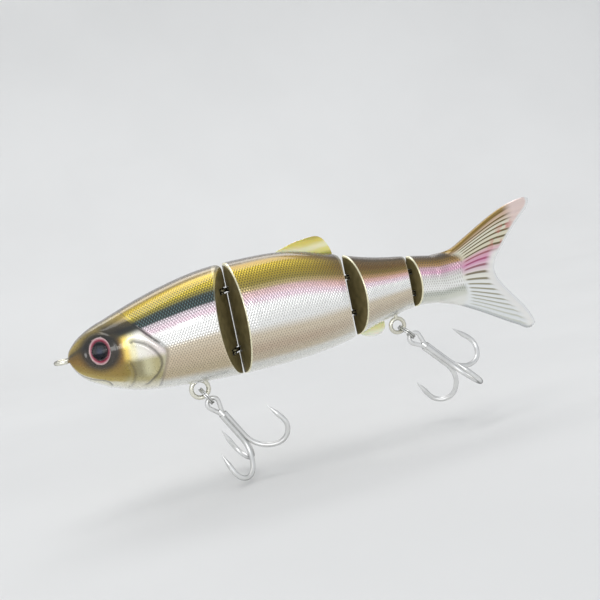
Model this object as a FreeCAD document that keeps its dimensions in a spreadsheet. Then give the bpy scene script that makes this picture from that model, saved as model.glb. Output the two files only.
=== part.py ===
import FreeCAD, Part
import math
import os
import re
from FreeCAD import Placement, Rotation, Vector

# A four-segment jointed swimbait with two treble hooks.
# X runs from nose to tail, Z is up and Y = 0 is the plane the moulded shells are split on.
# The origin is the centre of the line tie ring, just ahead of the nose. Left is the fish's left, -Y.

DOC = FreeCAD.newDocument("swimbait")
SHEET = DOC.addObject("Spreadsheet::Sheet", "Sizes")

X_AXIS = Vector(1, 0, 0)
Y_AXIS = Vector(0, 1, 0)
Z_AXIS = Vector(0, 0, 1)
LEFT, RIGHT = -1, 1
SIDE_NAMES = {LEFT: "left", RIGHT: "right"}

# Driving dimensions, in millimetres and degrees.
DRIVING = {
    # Moulded shells
    "wall": 1.8,                 # shell thickness round the air chambers
    "side_reach": 20,            # half width of the blocks that cut the body into segments
    "height_reach": 34,          # half height of the same blocks
    "nose_reach": -5,            # where the head's block starts
    "tail_reach": 175,           # where the tail's block ends
    "seat_gap": 0.03,            # gap round a fixed metal piece in its moulded seat
    # Joints: hinge axis, heights of the two links, bevels of the faces and slot sizes
    "pin_inset": 1.5,            # hinge axis ahead of the front segment's crest
    "pin_radius": 0.75,
    "eye_bore": 0.82,            # hole radius of a hinge eye, a running fit on the pin
    "eye_ring": 1.48,            # centre line radius of a hinge eye
    "eye_wire": 0.65,
    "eye_shank": 9.5,            # hinge axis to the end of the eye's shank
    "slot_height": 2.1,
    "notch_width": 3.2,          # shallow notch where a link enters the rear segment
    "notch_depth": 0.8,
    "crest_gap_1": 0.4, "crest_gap_2": 0.8, "crest_gap_3": 0.4,      # space between a joint's crests
    "joint_x_1": 57.0, "upper_z_1": 11.2, "lower_z_1": -9.1, "pin_top_1": 14.4, "pin_foot_1": -12.3,
    "joint_x_2": 97.7, "upper_z_2": 6.2, "lower_z_2": -6.1, "pin_top_2": 9.4, "pin_foot_2": -9.3,
    "joint_x_3": 120.1, "upper_z_3": 3.2, "lower_z_3": -4.4, "pin_top_3": 5.9, "pin_foot_3": -7.1,
    "rear_bevel_1": 27.6, "front_bevel_1": 10.2, "slot_radius_1": 6.5,
    "rear_bevel_2": 13, "front_bevel_2": 20, "slot_radius_2": 4.5,
    "rear_bevel_3": 14.5, "front_bevel_3": 21, "slot_radius_3": 3.2,
    # Air chambers: start, end, floor and ceiling of each
    "head_room_front": 26, "head_room_rear": 45.5, "head_floor": -8, "head_ceiling": 20,
    "mid_room_front": 66, "mid_room_rear": 89.5, "mid_floor": -8, "mid_ceiling": 11.5,
    "rear_room_front": 108.2, "rear_room_rear": 113.6, "rear_floor": -2.5, "rear_ceiling": 20,
    # Ballast
    "head_weight_radius": 3.4, "head_weight_x": 26.5, "head_weight_length": 12, "head_weight_z": -12,
    "mid_weight_radius": 3.2, "mid_weight_x": 65.5, "mid_weight_length": 22, "mid_weight_z": -12.4,
    # Line tie
    "tie_bore": 1.6, "tie_ring": 2.2, "tie_wire": 0.7, "tie_shank": 18,
    # Hook hangers
    "front_hanger_ring": 2.9, "front_hanger_wire": 0.75,
    "rear_hanger_ring": 2.45, "rear_hanger_wire": 0.68, "hanger_shank": 9,
    "front_hanger_x": 41.4, "front_hanger_z": -19.2, "front_hook_slope": 61,
    "rear_hanger_x": 112.8, "rear_hanger_z": -14.1, "rear_hook_slope": 47.5,
    # Split rings: two turns of wire, how far their centre hangs from the hanger's, and the hook's eye from theirs
    "coil_radius": 3.0, "coil_wire": 0.38, "coil_pitch": 0.68,
    "front_coil_reach": 3.3, "front_eye_reach": 1.35, "rear_coil_reach": 4.1, "rear_eye_reach": 1.7,
    # Treble hooks
    "hook_wire": 0.82, "hook_eye_wire": 0.72, "hook_eye_ring": 1.95,
    "hook_eye_neck": 8.0, "shoulder_length": 2.2, "shoulder_radius": 1.42,
    "shank_offset": 0.87, "shank_leave": 18.0, "gape_radius": 10, "gape_turn": 70,
    "bend_radius": 5.2, "point_lean": 9, "leg_length": 2.6, "point_length": 4.4,
    "barb_length": 2.5, "barb_radius": 0.5, "barb_lean": 33, "barb_step": 0.3, "tip_radius": 0.0625,
    "front_hook_clock": 14, "rear_hook_clock": 90,
    # Eyes
    "eye_x": 11.7, "eye_y": 7.66, "eye_z": 1.7, "eye_forward": 19, "eye_up": 11,
    "iris_radius": 4.4, "iris_depth": 1.0, "iris_sink": 0.7,
    "pupil_radius": 2.6, "pupil_depth": 0.25, "dome_height": 1.5,
    # Fins
    "dorsal_thickness": 1.8, "anal_thickness": 1.8,
    "blade_root_x": 132, "blade_root": 1.9, "blade_end_x": 170, "blade_end": 0.55,
}

# The body's cross-sections are ellipses: distance behind the line tie, top, bottom and half width.
STATIONS = [
    (2.2, 2.4, -2.0, 2.0), (4.2, 4.8, -5.4, 4.2), (6.7, 6.8, -7.7, 5.7), (11.7, 9.3, -10.8, 7.9),
    (19.2, 12.1, -14.0, 10.0), (26.7, 14.6, -15.6, 11.4), (35.7, 17.1, -16.6, 12.3),
    (45.7, 19.2, -17.3, 12.8), (55.7, 20.2, -17.7, 12.8), (65.7, 20.3, -17.8, 12.5),
    (75.7, 19.9, -17.5, 11.9), (85.7, 18.0, -16.7, 11.1), (97.2, 14.4, -14.6, 9.9),
    (105.7, 11.8, -12.2, 8.4), (113.7, 10.1, -10.5, 7.1), (120.2, 9.1, -9.3, 6.2),
    (126.7, 8.0, -9.9, 5.0), (132.7, 7.2, -10.7, 3.7), (139.7, 6.4, -9.6, 2.4), (147.7, 4.0, -6.5, 1.3),
]
CHAMBER_STATIONS = range(3, 16)
VOLUME_TOLERANCE = 0.1       # cubic millimetres between the two like eyes of a joint

# Fin outlines in the X-Z plane. Each row is one smooth stretch; the fin's corners are where rows meet.
DORSAL_OUTLINE = [
    [(75.4, 19.6), (82, 21.5), (87.2, 22.2), (91.4, 21.8), (93.4, 19.6), (94.9, 15.4)],
    [(94.9, 15.4), (94.3, 13.2)],
    [(94.3, 13.2), (77.5, 17.3)],
    [(77.5, 17.3), (75.4, 19.6)],
]
ANAL_OUTLINE = [
    [(99.2, -14.0), (103.2, -15.8), (106.1, -15.6)],
    [(106.1, -15.6), (107.9, -14.3), (108.5, -12.3)],
    [(108.5, -12.3), (107.8, -9.6)],
    [(107.8, -9.6), (99.6, -12.4)],
    [(99.6, -12.4), (99.2, -14.0)],
]
BLADE_OUTLINE = [
    [(137.0, 7.6), (143.5, 11.1), (149.3, 14.1), (155.2, 16.9), (161.1, 18.9), (166.4, 19.8)],
    [(166.4, 19.8), (168.4, 19.5), (167.3, 15.6)],
    [(167.3, 15.6), (161.5, 10.5), (155.8, 4.4), (153.0, 1.1)],
    [(153.0, 1.1), (151.7, -2.5), (153.5, -8.0)],
    [(153.5, -8.0), (156.7, -12.6), (160.0, -17.1), (163.4, -24.4)],
    [(163.4, -24.4), (162.0, -25.7), (157.3, -24.3)],
    [(157.3, -24.3), (151.1, -20.8), (144.9, -17.0), (138.8, -13.6), (133.4, -11.0)],
    [(133.4, -11.0), (132.0, -6.0)],
    [(132.0, -6.0), (132.0, 4.0)],
    [(132.0, 4.0), (137.0, 7.6)],
]


def fill_sheet():
    """Put every driving dimension and station into the sheet under its own name."""
    sizes = dict(DRIVING)
    for number, row in enumerate(STATIONS, start=1):
        for name, value in zip(("station", "top", "bottom", "half"), row):
            sizes[f"{name}_{number}_mm"] = value
    for row, (name, value) in enumerate(sizes.items(), start=1):
        SHEET.set(f"A{row}", name)
        SHEET.set(f"B{row}", str(value))
        SHEET.setAlias(f"B{row}", name)
    DOC.recompute()
    return sizes


SIZES = fill_sheet()
NODES = []


def cells(expression):
    """Spell out an expression's names as cells of the sheet."""
    def spell(match):
        word = match.group()
        return f"Sizes.{word}" if word in SIZES else word
    return re.sub(r"[a-z_][a-z_0-9]*", spell, expression)


def size(name):
    """The value a cell of the sheet holds."""
    return float(SHEET.get(name))


def bind(item, **expressions):
    """Bind an object's properties to expressions of the sheet's cells."""
    for name, expression in expressions.items():
        item.setExpression(name, cells(str(expression)))
    return item


def place(item, x="0", y="0", z="0", turn=Rotation()):
    """Give an object its orientation and bind its position to the sheet."""
    item.Placement = Placement(Vector(0, 0, 0), turn)
    for axis, expression in zip("xyz", (x, y, z)):
        item.setExpression(f"Placement.Base.{axis}", cells(str(expression)))
    return item


def node(item, name):
    """Name a finished sub-part."""
    item.Label = name
    NODES.append(item)
    return item


def cylinder(name, radius, length, x, y, z, direction=Z_AXIS):
    item = DOC.addObject("Part::Cylinder", name)
    bind(item, Radius=radius, Height=length)
    return place(item, x, y, z, Rotation(Z_AXIS, direction))


def torus(name, ring, wire, x, y, z, direction=Z_AXIS):
    """A round ring, turned so that its seam lies ahead of it, away from the shank."""
    item = DOC.addObject("Part::Torus", name)
    bind(item, Radius1=ring, Radius2=wire)
    return place(item, x, y, z, Rotation(Z_AXIS, direction) * Rotation(Z_AXIS, 180))


def fuse(name, items):
    item = DOC.addObject("Part::MultiFuse", name)
    item.Shapes = items
    return item


def common(name, items):
    item = DOC.addObject("Part::MultiCommon", name)
    item.Shapes = items
    return item


def cut(name, base, tool):
    item = DOC.addObject("Part::Cut", name)
    item.Base = base
    item.Tool = tool
    return item


# Body form

def body_form(name, numbers, inset):
    """Loft the fish's round form through its elliptical sections, an inset inside the surface."""
    sections = []
    for number in numbers:
        top, bottom = f"top_{number}_mm", f"bottom_{number}_mm"
        section = DOC.addObject("Part::Ellipse", f"{name}_section_{number}")
        bind(section,
             MajorRadius=f"({top} - {bottom}) / 2 - {inset}",
             MinorRadius=f"half_{number}_mm - {inset}")
        place(section, f"station_{number}_mm", 0, f"({top} + {bottom}) / 2", Rotation(Y_AXIS, -90))
        sections.append(section)
    form = DOC.addObject("Part::Loft", name)
    form.Sections = sections
    form.Solid = True
    return form


def segment_block(name, side, front, front_bevel, rear, rear_bevel):
    """Half of a segment's block: full length at the split plane, bevelled back towards its side."""
    block = DOC.addObject("Part::Wedge", name)
    front_side = f"{front} + side_reach * tan({front_bevel})"
    rear_side = f"{rear} - side_reach * tan({rear_bevel})"
    middle = dict(low=front, high=rear)
    outer = dict(low=front_side, high=rear_side)
    near, far = (outer, middle) if side == LEFT else (middle, outer)
    bind(block, Xmin=near["low"], Xmax=near["high"], X2min=far["low"], X2max=far["high"],
         Ymin="-side_reach" if side == LEFT else 0,
         Ymax=0 if side == LEFT else "side_reach",
         Zmin="-height_reach", Zmax="height_reach", Z2min="-height_reach", Z2max="height_reach")
    return block


def chamber(name, segment):
    """The air chamber of a segment: the inset body form between two bulkheads, keel and spine."""
    room = DOC.addObject("Part::Box", f"{name}_block")
    bind(room, Length=f"{segment}_room_rear - {segment}_room_front",
         Width="2 * side_reach", Height=f"{segment}_ceiling - {segment}_floor")
    place(room, f"{segment}_room_front", "-side_reach", f"{segment}_floor")
    return common(name, [CHAMBER_FORM, room])


# Hinges

def pin_x(joint):
    return f"(joint_x_{joint} - crest_gap_{joint} / 2 - pin_inset)"


def pin_bore(joint):
    return cylinder(f"pin_bore_{joint}", "pin_radius + seat_gap",
                    f"pin_top_{joint} - pin_foot_{joint} + 2 * seat_gap",
                    pin_x(joint), 0, f"pin_foot_{joint} - seat_gap")


def link_slot(joint, level):
    """The flat slot in the front segment's rear face, wide enough for the link to swing."""
    return cylinder(f"{level}_slot_{joint}", f"slot_radius_{joint}", "slot_height",
                    pin_x(joint), 0, f"{level}_z_{joint} - slot_height / 2")


def shank_seat(joint, level):
    """The hole that holds a hinge eye's shank in the rear segment, with a shallow notch at its mouth."""
    seat = cylinder(f"{level}_shank_seat_{joint}", "eye_wire + seat_gap", "eye_shank + seat_gap",
                    pin_x(joint), 0, f"{level}_z_{joint}", X_AXIS)
    notch = DOC.addObject("Part::Box", f"{level}_notch_{joint}")
    bind(notch, Length=f"crest_gap_{joint} + pin_inset + notch_depth", Width="notch_width", Height="slot_height")
    place(notch, pin_x(joint), "-notch_width / 2", f"{level}_z_{joint} - slot_height / 2")
    return [seat, notch]


def hinge_pin(joint):
    pin = cylinder(f"joint_{joint}_pin", "pin_radius", f"pin_top_{joint} - pin_foot_{joint}",
                   pin_x(joint), 0, f"pin_foot_{joint}")
    return node(pin, f"joint_{joint}_pin")


def hinge_eye(joint, level):
    """A screw eye: a round wire ring on the pin, its shank seated in the rear segment."""
    name = f"joint_{joint}_{level}_eye"
    height = f"{level}_z_{joint}"
    ring = torus(f"{name}_ring", "eye_ring", "eye_wire", pin_x(joint), 0, height)
    shank = cylinder(f"{name}_shank", "eye_wire", "eye_shank - eye_ring",
                     f"{pin_x(joint)} + eye_ring", 0, height, X_AXIS)
    bore = cylinder(f"{name}_bore", "eye_bore", "4 * eye_wire",
                    pin_x(joint), 0, f"{height} - 2 * eye_wire")
    return node(cut(name, fuse(f"{name}_blank", [ring, shank]), bore), name)


# Line tie and hangers

def line_tie_blank(name, slack):
    """The line tie's ring and the shank that runs back into the head."""
    ring = torus(f"{name}_ring", "tie_ring", f"tie_wire + {slack}", 0, 0, 0)
    shank = cylinder(f"{name}_shank", f"tie_wire + {slack}", f"tie_shank - tie_ring + {slack}",
                     "tie_ring", 0, 0, X_AXIS)
    return fuse(f"{name}_blank", [ring, shank])


def line_tie():
    """The ring lies flat, and its hole has a plain round land for the line or snap."""
    bore = cylinder("line_tie_bore", "tie_bore", "4 * tie_wire", 0, 0, "-2 * tie_wire")
    return node(cut("line_tie", line_tie_blank("line_tie", 0), bore), "line_tie")


def hanger(name, segment, slack):
    """A wire ring under the belly, on a shank that stands in the split plane."""
    x, z = f"{segment}_hanger_x", f"{segment}_hanger_z"
    radius, wire = f"{segment}_hanger_ring", f"{segment}_hanger_wire + {slack}"
    ring = torus(f"{name}_ring", radius, wire, x, 0, z, Y_AXIS)
    shank = cylinder(f"{name}_shank", wire, f"hanger_shank + {slack}", x, 0, f"{z} + {radius}")
    return fuse(name, [ring, shank])


# Fins

def outline_face(name, outline, clearance=0):
    """A flat face in the split plane, bounded by smooth curves that meet at the fin's corners."""
    edges = []
    for stretch in outline:
        points = [Vector(x, 0, z) for x, z in stretch]
        if len(points) == 2:
            edges.append(Part.makeLine(*points))
        else:
            curve = Part.BSplineCurve()
            curve.interpolate(points)
            edges.append(curve.toShape())
    face = DOC.addObject("Part::Feature", name)
    face.Shape = Part.Face(Part.Wire(edges))
    return face


def plate(name, face, thickness):
    """A face thickened by the same amount to both sides of the split plane."""
    item = DOC.addObject("Part::Extrusion", name)
    item.Base = face
    item.DirMode = "Custom"
    item.Dir = Y_AXIS
    item.Symmetric = True
    item.Solid = True
    return bind(item, LengthFwd=thickness)


def fin_and_seat(name, outline):
    """A separate fin and the slightly wider seat that it is bonded into."""
    face = outline_face(f"{name}_outline", outline)
    thickness = f"{name.split('_')[0]}_thickness"
    fin = node(plate(name, face, thickness), name)
    seat = plate(f"{name}_seat", face, f"{thickness} + 2 * seat_gap")
    return fin, seat


def tail_blade():
    """The forked fin, which thins from its root to its trailing edge."""
    taper = DOC.addObject("Part::Wedge", "blade_taper")
    bind(taper, Xmin="-height_reach", Xmax="height_reach", X2min="-height_reach", X2max="height_reach",
         Ymin="blade_root_x", Ymax="blade_end_x",
         Zmin="-blade_root", Zmax="blade_root", Z2min="-blade_end", Z2max="blade_end")
    # The wedge's own X, Y and Z become the body's Z, X and Y.
    place(taper, turn=Rotation(Z_AXIS, X_AXIS, Y_AXIS, "XYZ"))
    outline = plate("blade_plate", outline_face("blade_outline", BLADE_OUTLINE), "2 * side_reach")
    return common("tail_blade", [outline, taper])


# Eyes

def eye_turn(side):
    """Turn Z outwards along the cheek's normal, which looks slightly forward and up."""
    forward, up = math.radians(size("eye_forward")), math.radians(size("eye_up"))
    normal = Vector(-math.sin(forward) * math.cos(up),
                    side * math.cos(forward) * math.cos(up),
                    math.sin(up))
    return Rotation(Z_AXIS, normal)


def on_eye_axis(item, side, height):
    """Stand an object on the eye's axis, a height above the cheek's surface."""
    turn = eye_turn(side)
    normal = turn.multVec(Z_AXIS)
    x, y, z = (f"{value:.6f} * ({height})" for value in normal)
    return place(item, f"eye_x + {x}", f"{side} * eye_y + {y}", f"eye_z + {z}", turn)


def eye_disc(name, side, radius, depth, floor):
    disc = DOC.addObject("Part::Cylinder", name)
    bind(disc, Radius=radius, Height=depth)
    return on_eye_axis(disc, side, floor)


def eye_socket(side):
    return eye_disc(f"eye_socket_{SIDE_NAMES[side]}", side, "iris_radius + seat_gap",
                    "iris_radius", "-iris_sink - iris_depth - seat_gap")


def eye_parts(side):
    """One eye: a coloured disc, a raised pupil and a clear dome over both."""
    prefix = SIDE_NAMES[side]
    top = "-iris_sink"
    node(eye_disc(f"{prefix}_eye_disc", side, "iris_radius", "iris_depth", f"{top} - iris_depth"),
         f"{prefix}_eye_disc")
    node(eye_disc(f"{prefix}_pupil", side, "pupil_radius", "pupil_depth", top), f"{prefix}_pupil")
    sphere = "((iris_radius ^ 2 + dome_height ^ 2) / (2 * dome_height))"
    cap = DOC.addObject("Part::Sphere", f"{prefix}_dome_cap")
    bind(cap, Radius=sphere, Angle1=f"asin(({sphere} - dome_height) / {sphere})")
    on_eye_axis(cap, side, f"{top} - {sphere} + dome_height")
    recess = eye_disc(f"{prefix}_dome_recess", side, "pupil_radius + seat_gap",
                      "pupil_depth + seat_gap", top)
    node(cut(f"{prefix}_eye_dome", cap, recess), f"{prefix}_eye_dome")


# Ballast

def weight(segment, slack, name):
    """A round bar of lead lying along the keel."""
    return cylinder(name, f"{segment}_weight_radius + {slack}",
                    f"{segment}_weight_length + 2 * {slack}",
                    f"{segment}_weight_x - {slack}", 0, f"{segment}_weight_z", X_AXIS)


# Split rings and treble hooks

def hook_frame(segment):
    """The directions a hook hangs in: along its shank, up behind it, and the turn that gives both."""
    slope = math.radians(size(f"{segment}_hook_slope"))
    along = Vector(math.cos(slope), 0, -math.sin(slope))
    behind = Vector(math.sin(slope), 0, math.cos(slope))
    return along, behind


def split_ring(segment):
    """Two turns of spring wire pressed together, hung through the hanger in the hook's own direction."""
    name = f"{segment}_split_ring"
    along, behind = hook_frame(segment)
    coils = []
    for number, side in enumerate((-1, 1), start=1):
        x, z = (f"{ahead:.6f} * {segment}_coil_reach + {side * lift:.6f} * coil_pitch / 2"
                for ahead, lift in ((along.x, behind.x), (along.z, behind.z)))
        coils.append(torus(f"{name}_turn_{number}", "coil_radius", "coil_wire",
                           f"{segment}_hanger_x + {x}", 0, f"{segment}_hanger_z + {z}", behind))
    return node(fuse(name, coils), name)


def wire_solid(path, radius, start, direction):
    """A round wire swept along a smooth path."""
    profile = Part.Wire(Part.makeCircle(radius, start, direction))
    return path.makePipeShell([profile], True, True)


def arc(centre, radius, start, end):
    """An arc in the X-Z plane between two angles, measured from Z towards X."""
    def point(angle):
        return centre + Vector(radius * math.sin(angle), 0, radius * math.cos(angle))
    return Part.Arc(point(start), point((start + end) / 2), point(end)).toShape()


def hook_eye():
    """The hook's eye, in two halves: a round loop that narrows into the shank, in the hook's X-Z plane."""
    ring, wire, neck = size("hook_eye_ring"), size("hook_eye_wire"), size("hook_eye_neck")
    centre = Vector(0, 0, wire + ring)
    touch = math.acos(ring / (neck - centre.z))
    halves = []
    for side in (1, -1):
        tangent = centre + Vector(side * ring * math.sin(touch), 0, ring * math.cos(touch))
        path = Part.Wire([
            arc(centre, ring, math.pi, side * touch if side > 0 else 2 * math.pi - touch),
            Part.makeLine(tangent, Vector(0, 0, neck)),
        ])
        halves.append(wire_solid(path, wire, centre - Vector(0, 0, ring), X_AXIS))
    return halves


def shank_core():
    """The solder that fills the three wires' middle and swells up into the eye's two legs."""
    wire, neck = size("hook_wire"), size("hook_eye_neck")
    shoulder = size("shoulder_length")
    cone = Part.makeCone(wire, size("shoulder_radius"), shoulder, Vector(0, 0, neck - shoulder))
    core = Part.makeCylinder(wire, size("shank_leave") - neck, Vector(0, 0, neck - shoulder / 2))
    return [cone, core]


def bend_and_point():
    """One of the three hooks, leaving the shank along +X: gape, bend, leg, point and barb."""
    wire = size("hook_wire")
    shank_offset = size("shank_offset")
    gape, bend = size("gape_radius"), size("bend_radius")
    turn = math.radians(size("gape_turn"))
    end = math.pi + math.radians(size("point_lean"))
    top = Vector(shank_offset, 0, size("hook_eye_neck") - size("shoulder_length") / 4)
    leave = Vector(shank_offset, 0, size("shank_leave"))
    gape_centre = leave + Vector(gape, 0, 0)
    bend_centre = gape_centre - Vector((gape - bend) * math.cos(turn), 0, -(gape - bend) * math.sin(turn))

    def heading(angle):
        return Vector(math.sin(angle), 0, math.cos(angle))

    def on_bend(angle):
        return bend_centre + Vector(-bend * math.cos(angle), 0, bend * math.sin(angle))

    leg_start = on_bend(end)
    leg_end = leg_start + heading(end) * size("leg_length")
    path = Part.Wire([
        Part.makeLine(top, leave),
        arc(gape_centre, gape, -math.pi / 2, turn - math.pi / 2),
        arc(bend_centre, bend, turn - math.pi / 2, end - math.pi / 2),
        Part.makeLine(leg_start, leg_end),
    ])
    barb_turn = end + math.pi + math.radians(size("barb_lean"))
    point = Part.makeCone(wire, size("tip_radius"), size("point_length"), leg_end, heading(end))
    barb = Part.makeCone(size("barb_radius"), size("tip_radius"), size("barb_length"),
                         leg_end - Vector(size("barb_step"), 0, 0), heading(barb_turn))
    return [wire_solid(path, wire, top, Z_AXIS), point, barb]


def treble_hook(segment):
    """Three hooks brazed back to back under one eye. Their shanks touch along a solder core."""
    name = f"{segment}_treble_hook"
    solids = hook_eye() + shank_core()
    for number in range(3):
        angle = size(f"{segment}_hook_clock") + number * 120
        for solid in bend_and_point():
            solid.rotate(Vector(0, 0, 0), Z_AXIS, angle)
            solids.append(solid)
    hook = DOC.addObject("Part::Feature", name)
    hook.Shape = solids[0].multiFuse(solids[1:])
    along, behind = hook_frame(segment)
    turn = Rotation(behind, along.cross(behind), along, "ZXY")
    base = Vector(size(f"{segment}_hanger_x"), 0, size(f"{segment}_hanger_z"))
    reach = size(f"{segment}_coil_reach") + size(f"{segment}_eye_reach") - size("hook_eye_wire")
    hook.Placement = Placement(base + along * reach, turn)
    return node(hook, name)


# Shells

def shell_pair(segment, form, ends, tools):
    """The two moulded halves of a segment, with everything the tools take out of them."""
    seats = fuse(f"{segment}_tools", tools)
    for side, side_name in SIDE_NAMES.items():
        name = f"{segment}_shell_{side_name}"
        block = segment_block(f"{name}_block", side, *ends)
        node(cut(name, common(f"{name}_blank", [form, block]), seats), name)


def front_end(joint):
    return f"joint_x_{joint} + crest_gap_{joint} / 2", f"front_bevel_{joint}"


def rear_end(joint):
    return f"joint_x_{joint} - crest_gap_{joint} / 2", f"rear_bevel_{joint}"


def hinge_front_tools(joint):
    return [pin_bore(joint), link_slot(joint, "upper"), link_slot(joint, "lower")]


def hinge_rear_tools(joint):
    return shank_seat(joint, "upper") + shank_seat(joint, "lower")


BODY_FORM = body_form("body_form", range(1, len(STATIONS) + 1), "0")
CHAMBER_FORM = body_form("chamber_form", [number + 1 for number in CHAMBER_STATIONS], "wall")

dorsal_fin, dorsal_seat = fin_and_seat("dorsal_fin", DORSAL_OUTLINE)
anal_fin, anal_seat = fin_and_seat("anal_fin", ANAL_OUTLINE)

shell_pair("head", BODY_FORM, ("nose_reach", 0, *rear_end(1)), [
    chamber("head_chamber", "head"),
    weight("head", "seat_gap", "head_weight_seat"),
    line_tie_blank("line_tie_seat", "seat_gap"),
    hanger("front_hanger_seat", "front", "seat_gap"),
    eye_socket(LEFT),
    eye_socket(RIGHT),
    *hinge_front_tools(1),
])
shell_pair("mid", BODY_FORM, (*front_end(1), *rear_end(2)), [
    chamber("mid_chamber", "mid"),
    weight("mid", "seat_gap", "mid_weight_seat"),
    dorsal_seat,
    *hinge_rear_tools(1),
    *hinge_front_tools(2),
])
shell_pair("rear", BODY_FORM, (*front_end(2), *rear_end(3)), [
    chamber("rear_chamber", "rear"),
    anal_seat,
    hanger("rear_hanger_seat", "rear", "seat_gap"),
    *hinge_rear_tools(2),
    *hinge_front_tools(3),
])
shell_pair("tail", fuse("tail_form", [BODY_FORM, tail_blade()]), (*front_end(3), "tail_reach", 0),
           hinge_rear_tools(3))

node(weight("head", "0", "head_weight"), "head_weight")
node(weight("mid", "0", "mid_weight"), "mid_weight")
line_tie()
eye_parts(LEFT)
eye_parts(RIGHT)
for joint_number in (1, 2, 3):
    hinge_pin(joint_number)
    hinge_eye(joint_number, "upper")
    hinge_eye(joint_number, "lower")
for place_name in ("front", "rear"):
    node(hanger(f"{place_name}_hanger", place_name, "0"), f"{place_name}_hanger")
    split_ring(place_name)
    treble_hook(place_name)


def check_document():
    """Stop if any object failed or any sub-part isn't one valid solid."""
    DOC.recompute()
    for item in DOC.Objects:
        if "Invalid" in item.State or "Error" in item.State:
            raise RuntimeError(f"{item.Label} failed: {item.State}")
    for item in NODES:
        if item.Shape.isNull() or not item.Shape.isValid() or len(item.Shape.Solids) != 1:
            raise RuntimeError(f"{item.Label} isn't one valid solid")
    for joint in (1, 2, 3):
        upper, lower = (DOC.getObject(f"joint_{joint}_{level}_eye").Shape for level in ("upper", "lower"))
        if abs(upper.Volume - lower.Volume) > VOLUME_TOLERANCE:
            raise RuntimeError(f"The two eyes of joint {joint} differ")


def write_parts():
    os.makedirs("parts", exist_ok=True)
    for item in NODES:
        item.Shape.exportStep(f"parts/{item.Label}.step")


check_document()
write_parts()
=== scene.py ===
import math

import bpy
import numpy as np
from mathutils import Matrix, Vector
from mathutils.bvhtree import BVHTree


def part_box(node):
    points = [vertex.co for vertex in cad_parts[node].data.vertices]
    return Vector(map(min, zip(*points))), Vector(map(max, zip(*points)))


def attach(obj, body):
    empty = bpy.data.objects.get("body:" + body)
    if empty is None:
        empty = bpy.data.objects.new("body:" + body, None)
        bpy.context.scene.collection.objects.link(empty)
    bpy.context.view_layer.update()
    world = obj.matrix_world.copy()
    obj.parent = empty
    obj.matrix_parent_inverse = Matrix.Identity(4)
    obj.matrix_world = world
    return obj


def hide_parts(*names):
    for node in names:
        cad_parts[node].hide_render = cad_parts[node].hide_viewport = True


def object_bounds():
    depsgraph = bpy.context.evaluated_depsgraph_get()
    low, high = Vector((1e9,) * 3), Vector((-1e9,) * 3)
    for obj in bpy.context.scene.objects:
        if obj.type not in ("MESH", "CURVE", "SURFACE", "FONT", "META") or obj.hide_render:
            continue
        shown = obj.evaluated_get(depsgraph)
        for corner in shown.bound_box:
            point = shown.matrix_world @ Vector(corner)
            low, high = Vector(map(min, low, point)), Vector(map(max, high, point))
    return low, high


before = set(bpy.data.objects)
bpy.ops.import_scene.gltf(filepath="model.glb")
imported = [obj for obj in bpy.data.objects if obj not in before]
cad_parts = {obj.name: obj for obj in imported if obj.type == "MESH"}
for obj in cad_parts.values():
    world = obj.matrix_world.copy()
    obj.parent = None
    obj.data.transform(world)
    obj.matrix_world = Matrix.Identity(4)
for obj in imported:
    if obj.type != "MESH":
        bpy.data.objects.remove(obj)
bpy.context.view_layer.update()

# The looks of a jointed swimbait: foil-finished body segments, fins, eyes, rings and hooks.
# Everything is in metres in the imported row's frame: +X to the tail, +Z up, the fish's left at -Y.

MM = 0.001
SEGMENTS = ("head", "mid", "rear", "tail")
JOINTS = ((1, "head", "mid"), (2, "mid", "rear"), (3, "rear", "tail"))
GRID = 0.26 * MM     # spacing of the body skins' vertices


# Measuring the CAD frame

def search_tree(*names):
    """One search tree over the meshes of some CAD nodes."""
    vertices, faces = [], []
    for name in names:
        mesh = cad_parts[name].data
        base = len(vertices)
        vertices += [vertex.co.copy() for vertex in mesh.vertices]
        faces += [[base + index for index in face.vertices] for face in mesh.polygons]
    return BVHTree.FromPolygons(vertices, faces)


def halves(segment):
    return f"{segment}_shell_left", f"{segment}_shell_right"


SHELLS = search_tree(*(name for segment in SEGMENTS for name in halves(segment)))
FAR = 60 * MM


def hit(origin, direction, tree=SHELLS):
    """Where a ray first meets the shells, or None."""
    return tree.ray_cast(Vector(origin), Vector(direction))[0]


def points(node):
    return np.array([vertex.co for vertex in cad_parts[node].data.vertices])


def measure_end(segment, rear):
    """Where a segment's crest is and how steeply its face falls back from it: (x, slope)."""
    low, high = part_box(f"{segment}_shell_left")
    crest = high.x if rear else low.x
    step = 1 if rear else -1
    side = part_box(f"{segment}_shell_left")[0].y / 3
    found = hit((crest + step * 0.3 * MM, side, 0), (-step, 0, 0))
    return crest, abs(crest - found.x) / abs(side)


ENDS = {}
for joint, front, rear in JOINTS:
    ENDS[front, "rear"] = measure_end(front, True)
    ENDS[rear, "front"] = measure_end(rear, False)
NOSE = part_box("head_shell_left")[0].x - 0.5 * MM
BLADE_ROOT = ENDS["tail", "front"][0] + 8.5 * MM     # where the tail fin starts to stand clear of the body
BODY_END = BLADE_ROOT + 1.5 * MM


def smooth_samples(at, values, grid, width):
    """Gaussian-weighted averages of scattered samples, with a local slope so that the ends don't sag."""
    out = np.empty(len(grid))
    for number, centre in enumerate(grid):
        offset = at - centre
        spread = max(width, np.sort(np.abs(offset))[3])
        weight = np.exp(-0.5 * (offset / spread) ** 2)
        total, first = weight.sum(), (weight * offset).sum()
        second = (weight * offset ** 2).sum()
        slope_part = (second * (weight * values).sum() - first * (weight * offset * values).sum())
        out[number] = slope_part / (total * second - first ** 2)
    return out


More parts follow.
